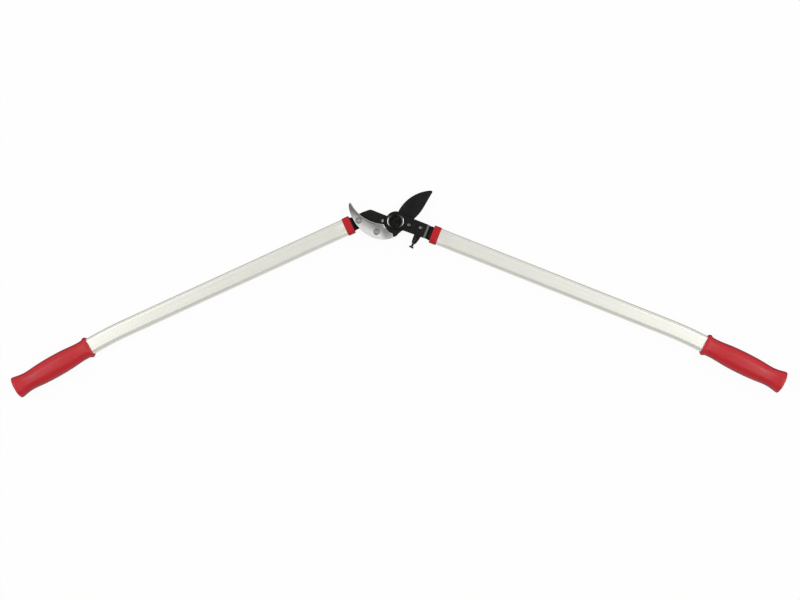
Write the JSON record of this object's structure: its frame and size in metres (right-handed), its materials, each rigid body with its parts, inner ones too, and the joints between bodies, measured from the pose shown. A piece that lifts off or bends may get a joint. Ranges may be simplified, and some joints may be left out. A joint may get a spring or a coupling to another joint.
{
  "type": "anvil lopper",
  "caption": "Long-handled garden lopper with a curved blade, a matching curved metal anvil, an adjustable end stop, bent pale aluminium handles and red grips, lying fully open.",
  "frame": {"origin": "on the pivot axis, at the flat tail of the pivot bolt, which lies in the surface that the tool lies on", "axes": "+Z along the pivot axis, from the surface up to the bolt head; +X to the right-hand handle that carries the anvil; the blade opens towards +Y"},
  "size_m": [1.3294, 0.3566, 0.032],
  "materials": {
    "black_coated_steel": "satin black coating on forged steel",
    "blade_coating": "smooth low-friction black coating",
    "anvil_metal": "bare satin metal",
    "handle_aluminium": "pale satin anodised",
    "red_plastic": "red moulded plastic, slight sheen",
    "zinc_steel": "zinc plated",
    "black_steel": "black oxide with bright worn rims",
    "bearing_bronze": "bearing bronze",
    "friction_plastic": "plain low-friction plastic"
  },
  "bodies": {
    "anvil_side": {"anvil": "anvil_metal", "anvil_arm": "black_coated_steel", "anvil_screw_1": "zinc_steel", "anvil_screw_2": "zinc_steel", "anvil_tang": "black_coated_steel", "arm_rivet_1": "black_steel", "arm_rivet_2": "black_steel", "collar_right": "red_plastic", "friction_disc": "friction_plastic", "grip_right": "red_plastic", "handle_tube_right": "handle_aluminium", "pivot_bolt": "black_steel", "pivot_nut": "zinc_steel", "pivot_washer": "zinc_steel", "tang_pin_right": "zinc_steel"},
    "blade_side": {"blade": "blade_coating", "blade_arm": "black_coated_steel", "blade_screw_1": "zinc_steel", "blade_screw_2": "zinc_steel", "blade_screw_3": "zinc_steel", "collar_left": "red_plastic", "grip_left": "red_plastic", "handle_tube_left": "handle_aluminium", "pivot_bush": "bearing_bronze", "tang_pin_left": "zinc_steel"},
    "stop_screw": {"stop_screw": "black_steel"}
  },
  "joints": [
    {"name": "pivot", "type": "hinge", "parent": "anvil_side", "child": "blade_side", "pos_m": [0, 0, 0.016], "axis": [0, 0, 1], "range_deg": [0, 118]},
    {"name": "stop_adjust", "type": "slide", "parent": "anvil_side", "child": "stop_screw", "axis": [0.47, 0.8827, 0], "range_m": [0, 0.003]}
  ]
}
